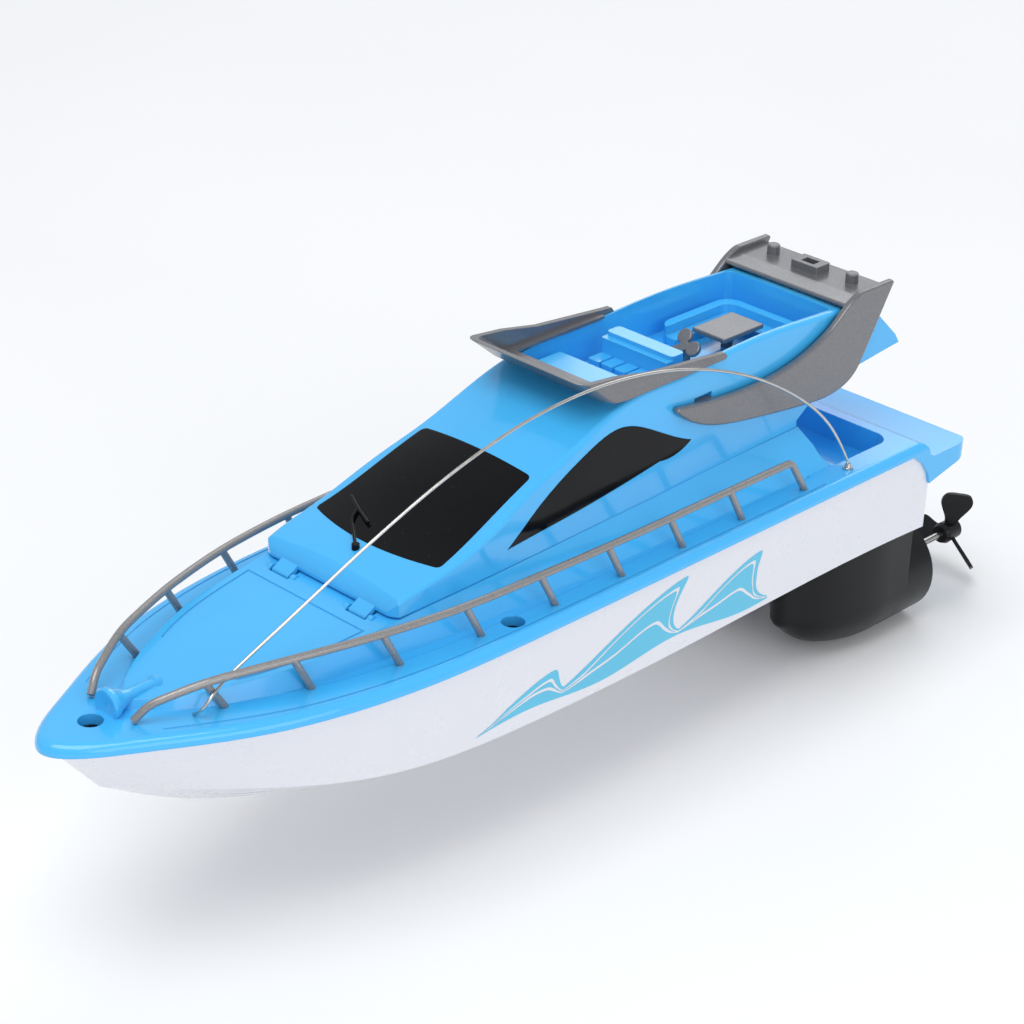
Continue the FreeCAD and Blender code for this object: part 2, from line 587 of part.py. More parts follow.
def furniture():
    """Seats, console and locker moulded on the flybridge floor."""
    floor = size("bridge_floor") - 0.5
    pieces = [rounded_block(118.6, 131.0, -14.2, 14.2, floor, 82.9, 0.6)]
    pieces.append(rounded_block(98.8, 103.8, -11.6, 11.6, floor, 85.4, 1.2))
    pieces.append(rounded_block(102.2, 105.8, -11.6, 11.6, floor, 84.2, 0.8))
    pieces.append(rounded_block(104.8, 110.2, -11.6, 11.6, floor, 79.2, 0.6))
    for i in range(5):
        y = -9.2 + 4.6 * i
        pieces.append(rounded_block(105.2, 111.2, y - 2.0, y + 2.0, floor, 79.9, 0.8))
    sofa = rounded_block(50.6, 80.0, -14.6, 14.6, floor, 79.6, 5.0)
    sofa = sofa.cut(rounded_block(53.6, 96.0, -11.6, 11.6, floor - 1, 90.0, 3.5))
    seat = rounded_block(51.6, 80.0, -13.6, 13.6, floor, 77.0, 4.0)
    seat = seat.cut(rounded_block(59.2, 96.0, -7.6, 7.6, floor - 1, 90.0, 2.0))
    pieces += [sofa, seat]
    return pieces


# Side outline (x, z) of the visor, from the tip of its port arm along the foot and back on top.
VISOR_SIDE = [(92.6, 85.5), (93.2, 84.9), (131.0, 84.7), (134.6, 85.1), (138.4, 86.1), (152.0, 86.1),
              (152.0, 93.2), (146.6, 93.2), (134.8, 91.9), (122.0, 89.4), (95.4, 86.8), (93.6, 86.7)]


def funnel(foot, rim):
    """Solid that widens upwards between two rounded outlines given as (front, half breadth, radius)."""
    faces = []
    for z, (front, half, radius) in ((VISOR_LOW, foot), (VISOR_HIGH, rim)):
        faces.append(rounded_rectangle(80.0, front, -half, half, radius, z).OuterWire)
    return Part.makeLoft(faces, True, True)


def make_cabin():
    shell = cabin_volume().cut(inner_cabin())
    shell = shell.cut(rounded_block(BRIDGE[0], BRIDGE[1], -BRIDGE[2], BRIDGE[2],
                                    size("bridge_floor"), 95.0, 2.0))
    pieces = furniture()
    shell = shell.fuse(pieces[0].fuse(pieces[1:]))
    for name, side in BOTH:
        shell = shell.cut(side_window_prism(side, 0.1).cut(cabin_volume(0.6)))
        low, high = sorted((side * 18.75, side * 24.0))
        shell = shell.cut(box(97.4, 104.4, low, high, 74.8, 76.9))
        shell = shell.fuse(knuckle(side))
    shell = shell.cut(windscreen_prism(0.06).cut(cabin_volume(0.74)))
    shell = shell.cut(upright(size("table_place"), 0, 1.0, 70.0, 76.0))
    return shell


def knuckle(side):
    """Hinge knuckle that sits in the foredeck slot, with its pin and its web to the cabin's lip."""
    low, high = sorted((side * 10.8, side * 16.6))
    x = size("hinge_place")
    z = size("hinge_height")
    web = prism_y([(x - 3.5, z + 1.2), (x - 3.5, z + 3.0), (x - 2.3, z + 2.6), (x + 0.6, z + 0.9),
                   (x + 0.4, z - 0.9), (x - 1.6, z + 0.2), (x - 2.2, z + 1.2)], low, high)
    pin_low, pin_high = sorted((side * 9.6, side * 17.8))
    pin = hinge_rod(pin_low, pin_high, size("hinge_pin_radius"))
    return hinge_rod(low, high, size("knuckle_radius")).fuse([web, pin])


# ------------------------------------------------- cabin's own fittings ----
def make_windscreen():
    """Glazing panel with its moulded wiper, whose boss rests on the cover below the panel."""
    glass = windscreen_prism(0.0).common(cabin_volume(0.0)).cut(cabin_volume(0.7))
    pivot = Vector(204.4, 0.1, 61.0)
    knee = Vector(193.7, -10.6, 63.8)
    arm = tube([pivot, Vector(200.2, -5.2, 62.0), Vector(197.8, -8.6, 62.8), knee], 0.45)
    blade = tube([Vector(190.7, -16.2, 64.2), knee, Vector(196.5, -3.9, 63.4)], 0.45)
    boss = Part.makeCylinder(1.0, 2.0, Vector(204.4, 0.1, 60.0))
    lip = cabin_volume(0.0).cut(windscreen_prism(0.0))
    wiper = arm.fuse([blade, boss]).cut(lip).cut(cabin_volume(0.5))
    return glass.fuse(wiper)


def make_side_window(side):
    return side_window_prism(side, 0.0).common(cabin_volume(0.0)).cut(cabin_volume(0.5))


def make_visor():
    """Band round the front of the flybridge that leans forward, with a narrow flange inside."""
    outer = funnel((134.8, 20.9, 2.6), (150.0, 20.5, 3.2))
    inner = funnel((131.9, 19.2, 1.6), (148.4, 19.0, 2.4))
    band = outer.cut(inner).common(prism_y(VISOR_SIDE, -30.0, 30.0))
    flange = rounded_block(98.0, 136.0, -19.6, 19.6, 85.2, 86.2, 2.4)
    flange = flange.cut(rounded_block(80.0, 132.3, -17.5, 17.5, 80.0, 90.0, 1.6))
    return band.fuse(flange.common(outer)).cut(cabin_volume(0.0))


ARCH_LOW = [(113.6, 76.6), (109.2, 73.0), (102.0, 69.4), (84.3, 65.4), (60.1, 62.3), (48.5, 62.0),
            (41.0, 64.2), (36.9, 68.4)]
ARCH_TIP = [(25.0, 88.6), (25.6, 89.2)]
ARCH_TOP = [(38.6, 89.3), (44.6, 86.6), (49.6, 82.8), (57.0, 79.0), (66.4, 76.2), (78.0, 74.8),
            (96.0, 75.3), (112.8, 77.4)]


def arch_plate(side):
    low = [Vector(x, 0, z) for x, z in ARCH_LOW]
    tip = [Vector(x, 0, z) for x, z in ARCH_TIP]
    top = [Vector(x, 0, z) for x, z in ARCH_TOP]
    wire = Part.Wire([spline(low), Part.makeLine(low[-1], tip[0]), Part.makeLine(tip[0], tip[1]),
                      Part.makeLine(tip[1], top[0]), spline(top), Part.makeLine(top[-1], low[0])])
    plate = Part.Face(wire).extrude(Vector(0, size("arch_plate"), 0))
    plate = plate.makeFillet(0.5, [edge for edge in plate.Edges if edge.BoundBox.YLength < 0.01])
    offset = size("arch_inner") if side > 0 else -size("arch_inner") - size("arch_plate")
    plate.translate(Vector(0, offset, 0))
    low, high = sorted((side * 18.9, side * 21.9))
    tab = box(98.0, 103.6, low, high, 74.9, 75.6)
    return [plate, tab]


def make_arch():
    inner = size("arch_inner") + 0.2
    profile = [(26.6, 86.0), (37.8, 86.0), (44.6, 84.6 + 1.2), (45.2, 86.8), (39.0, 87.6), (26.6, 87.6)]
    beam = prism_y(profile, -inner, inner)
    beam = beam.makeFillet(0.6, [edge for edge in beam.Edges if edge.BoundBox.YLength > 30
                                 and edge.CenterOfMass.x > 38.0 and edge.CenterOfMass.z > 86.5])
    arch = beam
    for name, side in BOTH:
        arch = arch.fuse(arch_plate(side) + [peg(side)])
    boss = rounded_block(30.4, 36.4, -4.6, 4.6, 87.0, 90.0, 0.5)
    hole = box(32.0, 34.9, -2.2, 2.2, 86.6, 91.0)
    arch = arch.fuse(boss).cut(hole)
    return arch


def peg(side):
    post = Part.makeCylinder(size("peg_radius"), size("peg_height") + 0.6, Vector(32.5, side * 13.9, 87.0))
    return post.makeFillet(0.5, [post.Edges[0]])


def make_helm():
    """Three round lobes on a short pedestal."""
    place_x, foot = 84.6, size("bridge_floor")
    pedestal = Part.makeCylinder(1.4, 4.4, Vector(place_x, 0, foot))
    hub = Part.makeCylinder(1.5, 1.3, Vector(place_x, 0, foot + 4.4))
    lobes = []
    for turn in (90, 210, 330):
        angle = math.radians(turn)
        centre = Vector(place_x + 2.9 * math.cos(angle), 2.9 * math.sin(angle), foot + 4.4)
        lobe = Part.makeCylinder(2.2, 1.3, centre)
        lobes.append(lobe.makeFillet(0.4, [lobe.Edges[0], lobe.Edges[2]]))
    wheel = hub.fuse(lobes)
    wheel.rotate(Vector(place_x, 0, foot + 4.4), Vector(0, 1, 0), 48.0)
    return pedestal.fuse(wheel)


# --------------------------------------------------------------- rails ----
RAIL = [(279.6, 7.7, 46.2), (276.6, 9.6, 50.0), (265.0, 15.6, 53.9), (244.8, 22.9, 55.2),
        (222.1, 28.9, 55.5), (198.1, 32.3, 55.4), (150.4, 34.1, 55.4), (79.3, 34.2, 55.4),
        (72.6, 34.2, 45.2)]
RAIL_POSTS = [(265.0, 15.6), (244.8, 22.9), (222.1, 28.7), (198.1, 31.9), (173.8, 33.3), (150.4, 34.1),
              (127.3, 34.1), (104.0, 34.2)]
POST_RAKE = 5.5


def make_rail(side):
    path = [Vector(x, side * y, z) for x, y, z in RAIL]
    rail = tube(path, size("rail_radius"), {7: 3.6})
    for x, y in RAIL_POSTS:
        top = Vector(x, side * y, size("rail_height") - 0.4)
        foot = Vector(x - POST_RAKE, side * y, size("deck_top"))
        if x > 260.0:
            top = Vector(x, side * y, size("rail_height") - 1.9)
        rail = rail.fuse(post_between(foot, top))
    return rail.cut(box(50.0, 300.0, -50.0, 50.0, 30.0, size("deck_top")))


def post_between(foot, top):
    along = top - foot
    start = foot - along.normalize() * 1.5
    return Part.makeCylinder(size("rail_radius") * 0.95, (top - start).Length, start, top - start)


# ------------------------------------------------------------- antenna ----
WIRE_BASE = (54.0, 34.2)
WIRE_TIP = (266.5, 16.9)
# Along the arc (x, z), which lies in the upright plane through the two ends; then the bow end,
# which passes under the rail's tube, outboard of its second post, and ends on the deck.
WIRE_ARC = [(54.0, 47.0), (57.0, 53.0), (65.5, 64.5), (80.0, 76.0), (99.0, 86.4), (122.0, 93.8), (146.0, 96.4),
            (171.0, 94.0), (196.0, 86.2), (220.0, 75.2), (240.0, 64.6)]
WIRE_END = [(255.0, 15.5, 54.4), (261.3, 16.2, 51.9), (265.2, 17.6, 50.9), (267.4, 16.6, 47.4),
            (267.3, 14.0, 45.9)]


def make_wire():
    points = []
    for x, z in WIRE_ARC:
        part = (x - WIRE_BASE[0]) / (WIRE_TIP[0] - WIRE_BASE[0])
        points.append(Vector(x, WIRE_BASE[1] + part * (WIRE_TIP[1] - WIRE_BASE[1]), z))
    points += [Vector(*point) for point in WIRE_END]
    return tube(points, size("wire_radius"))


def make_ferrule():
    """Metal eyelet in the side deck that the antenna wire is crimped into."""
    x, y = WIRE_BASE
    top = size("deck_top")
    eyelet = Part.makeCylinder(1.5, 0.5, Vector(x, y, top)).fuse(
        Part.makeCone(1.0, 0.7, 1.0, Vector(x, y, top + 0.5)))
    stem = upright(x, y, size("ferrule_radius"), top - 5.0, top)
    return eyelet.fuse(stem)


# ---------------------------------------------------------------- pods ----
# Nose of the pod: part of its length and part of the pod's radius.
NOSE = [(0.0, 1.0), (0.25, 0.955), (0.5, 0.83), (0.75, 0.58), (0.92, 0.27), (1.0, 0.0)]


def pod_form(inset=0.0):
    """Turned pod with a pointed nose; ahead of the transom its sides run straight up to the hull."""
    radius = size("pod_radius") - inset
    back = size("pod_back")
    front = back + size("pod_straight")
    reach = size("pod_nose") - inset
    bow = spline([Vector(front + along * reach, out * radius, 0) for along, out in NOSE],
                 Vector(1, 0, 0), Vector(0, -1, 0))
    half = Part.Wire([bow, Part.makeLine(Vector(front + reach, 0, 0), Vector(back, 0, 0)),
                      Part.makeLine(Vector(back, 0, 0), Vector(back, radius, 0)),
                      Part.makeLine(Vector(back, radius, 0), Vector(front, radius, 0))])
    turned = Part.Face(half).revolve(Vector(0, 0, 0), Vector(1, 0, 0), 360)
    foot = size("transom") + inset + 0.3
    corners = [Vector(front, radius, 0), Vector(foot, radius, 0), Vector(foot, -radius, 0),
               Vector(front, -radius, 0)]
    lines = [Part.makeLine(first, second) for first, second in zip(corners, corners[1:])]
    neck = Part.Face(Part.Wire([bow] + lines + [mirrored(bow)])).extrude(Vector(0, 0, 26.0))
    form = turned.fuse(neck)
    form.translate(Vector(0, 0, size("pod_axis")))
    return form


def make_pod(side):
    y = side * size("pod_offset")
    axis = size("pod_axis")
    back = size("pod_back")
    inner = size("pod_radius") - size("pod_wall")
    hull = hull_volume(0.0, size("sheer"))
    roof = hull.copy()
    roof.translate(Vector(0, 0, -size("pod_wall")))
    form = pod_form()
    form.translate(Vector(0, y, 0))
    hollow = pod_form(size("pod_wall"))
    hollow = hollow.fuse(Part.makeCylinder(inner, 4.0, Vector(back - 1.0, 0, axis), Vector(1, 0, 0)))
    hollow.translate(Vector(0, y, 0))
    pod = form.cut(hull).cut(hollow.cut(roof))
    for x in (size("motor_back") + 3.0, size("motor_back") + 18.0):
        cradle = Part.makeCylinder(inner + 0.4, 2.0, Vector(x, y, axis), Vector(1, 0, 0))
        seat = Part.makeCylinder(size("motor_radius") + 0.05, 4.0, Vector(x - 1.0, y, axis), Vector(1, 0, 0))
        pod = pod.fuse(cradle.cut(seat).cut(hull))
    for x in POD_SCREWS:
        pod = pod.fuse(upright(x, y, 2.6, 3.0, 14.0).cut(hull))
        pod = pod.cut(upright(x, y, size("screw_shank"), 4.0, 22.0))
    return pod.cut(upright(POD_LEAD, y, 1.6, 4.0, 22.0))


# Port edge of a blade: part of its half width and distance from the shaft.
BLADE = [(0.40, 2.0), (0.75, 7.2), (1.0, 10.8), (0.84, 12.6)]


def make_blades(side):
    """Three fan blades round the shaft, drawn about the X axis."""
    half = size("blade_width") / 2.0
    near = [Vector(part * half, 0, out) for part, out in BLADE]
    far = [Vector(-point.x, 0, point.z) for point in reversed(near)]
    points = near + [Vector(0, 0, size("prop_radius"))] + far
    outline = Part.Wire([spline(points), Part.makeLine(points[-1], points[0])])
    blade = Part.Face(outline).extrude(Vector(0, size("blade_thick"), 0))
    blade.translate(Vector(0, -size("blade_thick") / 2.0, 0))
    blade.rotate(Vector(0, 0, 0), Vector(0, 0, 1), 90.0 + side * size("blade_pitch"))
    blades = []
    for turn in range(3):
        copy = blade.copy()
        copy.rotate(Vector(0, 0, 0), Vector(1, 0, 0), 120.0 * turn - 12.0 * side)
        blades.append(copy)
    return blades


def make_propeller(side):
    radius = size("prop_hub_radius")
    length = size("prop_hub_length")
    profile = [(0.0, 0.0), (0.0, radius - 1.2), (1.2, radius - 0.2), (length - 1.4, radius),
               (length, radius - 0.6), (length, 0.0)]
    face = Part.Face(Part.makePolygon([Vector(x, 0, r) for x, r in profile] + [Vector(0, 0, 0)]))
    hub = face.revolve(Vector(0, 0, 0), Vector(1, 0, 0), 360)
    blades = make_blades(side)
    for blade in blades:
        blade.translate(Vector(length / 2.0, 0, 0))
    prop = hub.fuse(blades)
    seat = Vector(size("prop_end"), side * size("pod_offset"), size("pod_axis"))
    prop.translate(seat)
    return prop.cut(Part.makeCylinder(size("shaft_radius"), length, seat + Vector(1.5, 0, 0), Vector(1, 0, 0)))


def make_table():
    """Folding table: a top and its post, drawn about the post's axis."""
    half_long = "Sizes.table_long / 2"
    half_wide = "Sizes.table_wide / 2"
    corners = [("0 - " + half_long, "0 - " + half_wide), (half_long, "0 - " + half_wide),
               (half_long, half_wide), ("0 - " + half_long, half_wide)]
    body = doc.addObject("PartDesign::Body", "flybridge_table")
    body.Label = "flybridge_table"
    top_pad = body.newObject("PartDesign::Pad", "table_top_pad")
    top_pad.Profile = outline_sketch(body, "XY_Plane", corners)
    top_pad.setExpression("Length", "Sizes.table_thick")
    post_sketch = body.newObject("Sketcher::SketchObject", "table_post_outline")
    post_sketch.AttachmentSupport = [(origin_plane(body, "XY_Plane"), "")]
    post_sketch.MapMode = "FlatFace"
    post_sketch.addGeometry(Part.Circle(Vector(0, 0, 0), Vector(0, 0, 1), size("table_post_radius")), False)
    post_sketch.addConstraint(Sketcher.Constraint("Coincident", 0, 3, -1, 1))
    ring_size = post_sketch.addConstraint(Sketcher.Constraint("Radius", 0, size("table_post_radius")))
    post_sketch.setExpression("Constraints[%d]" % ring_size, "Sizes.table_post_radius")
    post_pad = body.newObject("PartDesign::Pad", "table_post_pad")
    post_pad.Profile = post_sketch
    post_pad.Reversed = True
    post_pad.setExpression("Length", "Sizes.table_top - Sizes.table_thick - Sizes.bridge_floor")
    doc.recompute()
    thick = size("table_thick")
    edges = ["Edge%d" % (i + 1) for i, edge in enumerate(post_pad.Shape.Edges)
             if edge.BoundBox.ZMin > thick - 0.01
             or (edge.BoundBox.ZLength > thick - 0.01 and edge.BoundBox.ZMin > -0.01
                 and edge.BoundBox.XLength < 0.01)]
    rounding = body.newObject("PartDesign::Fillet", "table_rounding")
    rounding.Base = (post_pad, edges)
    rounding.Radius = 0.4
    doc.recompute()
    place(body, "Sizes.table_place", "0", "Sizes.table_top - Sizes.table_thick")


# -------------------------------------------------------- drive trains ----
def drive_across(side):
    return "Sizes.pod_offset" if side > 0 else "0 - Sizes.pod_offset"


def make_drive(name, side):
    """Cap, seal, bush, shaft, rotor and can of one motor, turned about the shaft line."""
    across = drive_across(side)
    line = "Sizes.pod_axis"
    inner = "Sizes.pod_radius - Sizes.pod_wall"
    bore = "Sizes.shaft_radius + Sizes.shaft_clearance"
    bush = "Sizes.bush_radius"
    boss = "Sizes.bush_radius + 1.6"
    lathe("pod_cap_" + name,
          [("0", bush), ("0", boss), ("3", boss), ("3", inner), ("3 + Sizes.cap_thick", inner),
           ("3 + Sizes.cap_thick", boss), ("9", boss), ("9", bush)],
          "Sizes.pod_back - 3", across, line)
    lathe("shaft_seal_" + name, [("0", bore), ("0", bush), ("1.8", bush), ("1.8", bore)],
          "Sizes.pod_back - 3", across, line)
    lathe("shaft_bush_" + name, [("0", bore), ("0", bush), ("Sizes.bush_length", bush),
                                 ("Sizes.bush_length", bore)],
          "Sizes.pod_back - 1", across, line)
    shaft_end = "Sizes.motor_back + Sizes.motor_length - 0.6 - Sizes.prop_end"
    lathe("motor_shaft_" + name, [("1.5", "0"), ("1.5", "Sizes.shaft_radius"), (shaft_end, "Sizes.shaft_radius"),
                                  (shaft_end, "0")], "Sizes.prop_end", across, line)
    lathe("motor_rotor_" + name,
          [("4", "Sizes.shaft_radius"), ("4", "7.2"), ("17", "7.2"), ("17", "2.4"), ("21.5", "2.4"),
           ("21.5", "Sizes.shaft_radius")], "Sizes.motor_back", across, line)
    wall = "Sizes.motor_wall"
    rim = "Sizes.motor_radius"
    lathe("motor_can_" + name,
          [("-1.2", bore), ("-1.2", "3"), ("0", "3"), ("0", rim), ("Sizes.motor_length - 1.6", rim),
           ("Sizes.motor_length - 1.6", rim + " - " + wall), (wall, rim + " - " + wall), (wall, bore)],
          "Sizes.motor_back", across, line)
    lathe("motor_end_cap_" + name,
          [("Sizes.motor_length - 1.6", bore), ("Sizes.motor_length - 1.6", rim),
           ("Sizes.motor_length", rim + " - 0.4"), ("Sizes.motor_length", "3"),
           ("Sizes.motor_length + 1", "3"), ("Sizes.motor_length + 1", "0"),
           ("Sizes.motor_length - 0.4", "0"), ("Sizes.motor_length - 0.4", bore)],
          "Sizes.motor_back", across, line)


# ------------------------------------------------------------ battery ----
def make_battery():
    wall = "Sizes.tray_wall"
    long = "53.5"
    half = "Sizes.cell_pitch + 0.2"
    body = doc.addObject("PartDesign::Body", "battery_tray")
    body.Label = "battery_tray"
    pad = body.newObject("PartDesign::Pad", "tray_pad")
    pad.Profile = outline_sketch(body, "XY_Plane", [
        ("0 - " + wall, "0 - " + half + " - " + wall), (long + " + " + wall, "0 - " + half + " - " + wall),
        (long + " + " + wall, half + " + " + wall), ("0 - " + wall, half + " + " + wall)])
    pad.setExpression("Length", "Sizes.tray_height")
    doc.recompute()
    before = pad.Shape.Volume
    pocket = body.newObject("PartDesign::Pocket", "tray_pocket")
    pocket.Profile = outline_sketch(body, "XY_Plane", [("0", "0 - " + half), (long, "0 - " + half),
                                                       (long, half), ("0", half)])
    pocket.Profile[0].setExpression("AttachmentOffset.Base.z", wall)
    pocket.Reversed = True
    pocket.Type = "ThroughAll"
    doc.recompute()
    if pocket.Shape.Volume > before - 1.0:
        raise RuntimeError("battery tray pocket cut nothing")
    place(body, "Sizes.tray_back", "0", "Sizes.tray_floor")
    cells = []
    contacts = []
    for layer in (0, 1):
        for row_side in (-1, 1):
            y = row_side * size("cell_pitch") / 2.0
            z = size("tray_floor") + size("tray_wall") + size("cell_radius") + 0.1
            z += layer * (2.0 * size("cell_radius") + 0.4)
            turned = (layer + (row_side + 1) // 2) % 2 == 1
            cells.append(make_cell(y, z, turned))
            contacts += make_contacts(y, z, turned)
    freeform("battery_cells", Part.makeCompound(cells))
    freeform("battery_contacts", Part.makeCompound(contacts))


def make_cell(y, z, turned):
    """One AA cell; a turned cell has its button at the after end."""
    radius = size("cell_radius")
    length = size("cell_length")
    can = Part.makeCylinder(radius, length, Vector(0, 0, 0), Vector(1, 0, 0))
    can = can.makeFillet(0.6, [can.Edges[0], can.Edges[2]])
    button = Part.makeCylinder(2.7, 1.4, Vector(length - 0.1, 0, 0), Vector(1, 0, 0))
    cell = can.fuse(button)
    if turned:
        cell.rotate(Vector(length / 2.0, 0, 0), Vector(0, 0, 1), 180.0)
    cell.translate(Vector(size("tray_back") + (1.7 if turned else 2.8), y, z))
    return cell.common(box(0.0, 300.0, -60.0, 60.0, -30.0, 100.0))


def make_contacts(y, z, turned):
    """Spring plate for a cell's flat end and a plain plate for its button end."""
    x0 = size("tray_back")
    x1 = x0 + 53.5
    cell_start = x0 + (1.7 if turned else 2.8)
    plates = [box(x0 + 0.02, x0 + 0.4, y - 6.0, y + 6.0, z - 6.0, z + 6.0),
              box(x1 - 0.4, x1 - 0.02, y - 6.0, y + 6.0, z - 6.0, z + 6.0)]
    if turned:
        flat_gap = x1 - 0.4 - (cell_start + size("cell_length"))
        spring = spring_rings(flat_gap)
        spring.rotate(Vector(0, 0, 0), Vector(0, 0, 1), 180.0)
        spring.translate(Vector(x1 - 0.4, y, z))
        return [plates[0], plates[1].fuse(spring)]
    spring = spring_rings(cell_start - x0 - 0.4)
    spring.translate(Vector(x0 + 0.4, y, z))
    return [plates[0].fuse(spring), plates[1]]


def spring_rings(length):
    """Conical contact spring: flat-sided turns joined by an upright."""
    thick = 0.42
    turns = 3
    pitch = (length - 2.0 * thick) / (turns - 1)
    spring = box(-0.1, length, 3.4, 4.2, -0.4, 0.4)
    for i in range(turns):
        reach = 4.6 - 0.35 * i
        start = Vector(pitch * i, 0, 0)
        ring = Part.makeCylinder(reach, 2.0 * thick, start, Vector(1, 0, 0))
        spring = spring.fuse(ring.cut(Part.makeCylinder(reach - 2.0 * thick, 2.0 * thick, start, Vector(1, 0, 0))))
    return spring


# -------------------------------------------------------- electronics ----
def make_board():
    body = doc.addObject("PartDesign::Body", "circuit_board")
    body.Label = "circuit_board"
    half = "Sizes.board_wide / 2"
    pad = body.newObject("PartDesign::Pad", "board_pad")
    pad.Profile = outline_sketch(body, "XY_Plane", [("0", "0 - " + half), ("Sizes.board_long", "0 - " + half),
                                                    ("Sizes.board_long", half), ("0", half)])
    pad.setExpression("Length", "Sizes.board_thick")
    doc.recompute()
    holes = body.newObject("Sketcher::SketchObject", "board_holes")
    holes.AttachmentSupport = [(origin_plane(body, "XY_Plane"), "")]
    holes.MapMode = "FlatFace"
    for x in BOARD_POSTS:
        centre = Vector(x - size("board_back"), 0, 0)
        holes.addGeometry(Part.Circle(centre, Vector(0, 0, 1), size("screw_shank") + 0.2), False)
    drilled = body.newObject("PartDesign::Pocket", "board_drilled")
    drilled.Profile = holes
    drilled.Type = "ThroughAll"
    drilled.Midplane = True
    doc.recompute()
    if drilled.Shape.Volume > pad.Shape.Volume - 1.0:
        raise RuntimeError("circuit board holes cut nothing")
    place(body, "Sizes.board_back", "0", "Sizes.board_height")


def make_components():
    """Receiver chip, motor driver, crystal can, coil, capacitors and their legs' collars."""
    top = size("board_height") + size("board_thick")
    x0 = size("board_back")
    chips = [box(x0 + 10.0, x0 + 20.0, -8.6, -4.6, top, top + 1.6),
             box(x0 + 10.0, x0 + 20.0, 4.4, 8.4, top, top + 1.6)]
    parts = [chip.makeFillet(0.3, [edge for edge in chip.Edges if edge.BoundBox.ZMin > top + 1.5])
             for chip in chips]
    crystal = rounded_block(x0 + 23.2, x0 + 27.2, -9.6, 0.4, top, top + 3.4, 1.9)
    parts.append(crystal)
    for x, y, radius, height in ((x0 + 9.2, 0.0, 2.0, 6.0), (x0 + 26.4, 5.2, 2.4, 7.0), (x0 + 16.0, 0.0, 2.2, 5.0)):
        drum = upright(x, y, radius, top, top + height)
        parts.append(drum.makeFillet(0.4, [drum.Edges[0]]))
    return Part.makeCompound(parts)


def make_switch():
    """Slide switch under the deck, worked through a slot once the cabin is raised."""
    x = "Sizes.switch_place"
    half_long = "Sizes.switch_long / 2"
    half_wide = "Sizes.switch_wide / 2"
    block("switch_body",
          [("0 - " + half_long, "0 - " + half_wide), (half_long, "0 - " + half_wide), (half_long, half_wide),
           ("0 - " + half_long, half_wide)], "Sizes.switch_deep", "XY_Plane", x, "0", "53 - Sizes.switch_deep")
    knob = "Sizes.knob_long / 2"
    width = "Sizes.knob_wide / 2"
    rest = x + " - Sizes.switch_travel / 2"
    block("switch_knob", [("0 - " + knob, "0 - " + width), (knob, "0 - " + width), (knob, width),
                          ("0 - " + knob, width)], "Sizes.knob_tall + 1.9", "XY_Plane", rest, "0", "53.05")


def screw(x, y, seat, length, up=True):
    """Pan-head screw with a cross recess; its shank points up or down from the seat."""
    head = Part.makeCylinder(size("screw_head"), 1.6, Vector(0, 0, -1.6))
    head = head.makeFillet(0.7, [head.Edges[2]])
    for turn in (0, 90):
        slot = Part.makeBox(3.0, 0.6, 0.8, Vector(-1.5, -0.3, -1.6))
        slot.rotate(Vector(0, 0, 0), Vector(0, 0, 1), turn)
        head = head.cut(slot)
    shank = Part.makeCylinder(size("screw_shank"), length - 1.2, Vector(0, 0, 0))
    tip = Part.makeCone(size("screw_shank"), 0.3, 1.2, Vector(0, 0, length - 1.2))
    whole = head.fuse([shank, tip])
    if not up:
        whole.rotate(Vector(0, 0, 0), Vector(1, 0, 0), 180.0)
    whole.translate(Vector(x, y, seat))
    return whole.common(box(0.0, 300.0, -60.0, 60.0, -30.0, 100.0))


def make_screws():
    hull = [screw(x, y, hull_bottom(y) + 7.0, 20.0) for x, y in POST_PLACES]
    pods = [screw(x, side * size("pod_offset"), POD_SEAT, 10.5, False) for x in POD_SCREWS
            for name, side in BOTH]
    seat = size("board_height") + size("board_thick")
    board = [screw(x, 0, seat, 12.0, False) for x in BOARD_POSTS]
    freeform("hull_screws", Part.makeCompound(hull))
    freeform("pod_screws", Part.makeCompound(pods))
    freeform("board_screws", Part.makeCompound(board))


LEAD_RADIUS = 0.55


def lead(points):
    return tube([Vector(*point) for point in points], LEAD_RADIUS)


def make_leads():
    """Insulated wires inside the hull, from each motor, the battery, the switch and the antenna."""
    top = size("board_height") + size("board_thick") + LEAD_RADIUS
    for name, side in BOTH:
        pair = []
        for shift in (-0.75, 0.75):
            y = side * (size("pod_offset") + shift)
            pair.append(lead([(POD_LEAD, y, -2.0), (POD_LEAD, y, 19.0), (53.0 - shift, y + side * 6.0, 23.0),
                              (72.0, y + side * 6.5, 22.0), (100.0, y + side * 5.5, 21.0 + shift),
                              (130.0, y + side * 5.0, 21.0 + shift), (150.0, y + side * 1.0, 23.5 + shift),
                              (158.0, side * (13.5 + shift), 26.5 + 0.3 * shift),
                              (165.0, side * (10.6 + shift), top)]))
        freeform("motor_leads_" + name, Part.makeCompound(pair))
    x, y = WIRE_BASE
    freeform("antenna_lead", lead([(x, y, size("deck_top") - 5.0), (x, y, 33.0), (66.0, 30.0, 28.0),
                                   (100.0, 29.5, 28.0), (140.0, 29.0, 28.0), (162.0, 25.0, 29.0),
                                   (178.0, 16.0, 28.0), (184.0, 9.8, top)]))
    pair = [lead([(149.5 + 1.4, y0, 30.0), (154.0, y0, 30.0), (158.0, y0 * 0.9, 28.0), (163.0, y0 * 0.8, top)])
            for y0 in (-6.0, 6.0)]
    freeform("battery_leads", Part.makeCompound(pair))
    pair = [lead([(80.0, y0, 48.0), (80.0, y0, 44.0), (86.0, y0 * 1.5, 40.0), (92.0, y0 * 3.0, 34.0),
                  (93.8, y0 * 3.4, 33.4)])
            for y0 in (-1.6, 1.6)]
    freeform("switch_leads", Part.makeCompound(pair))


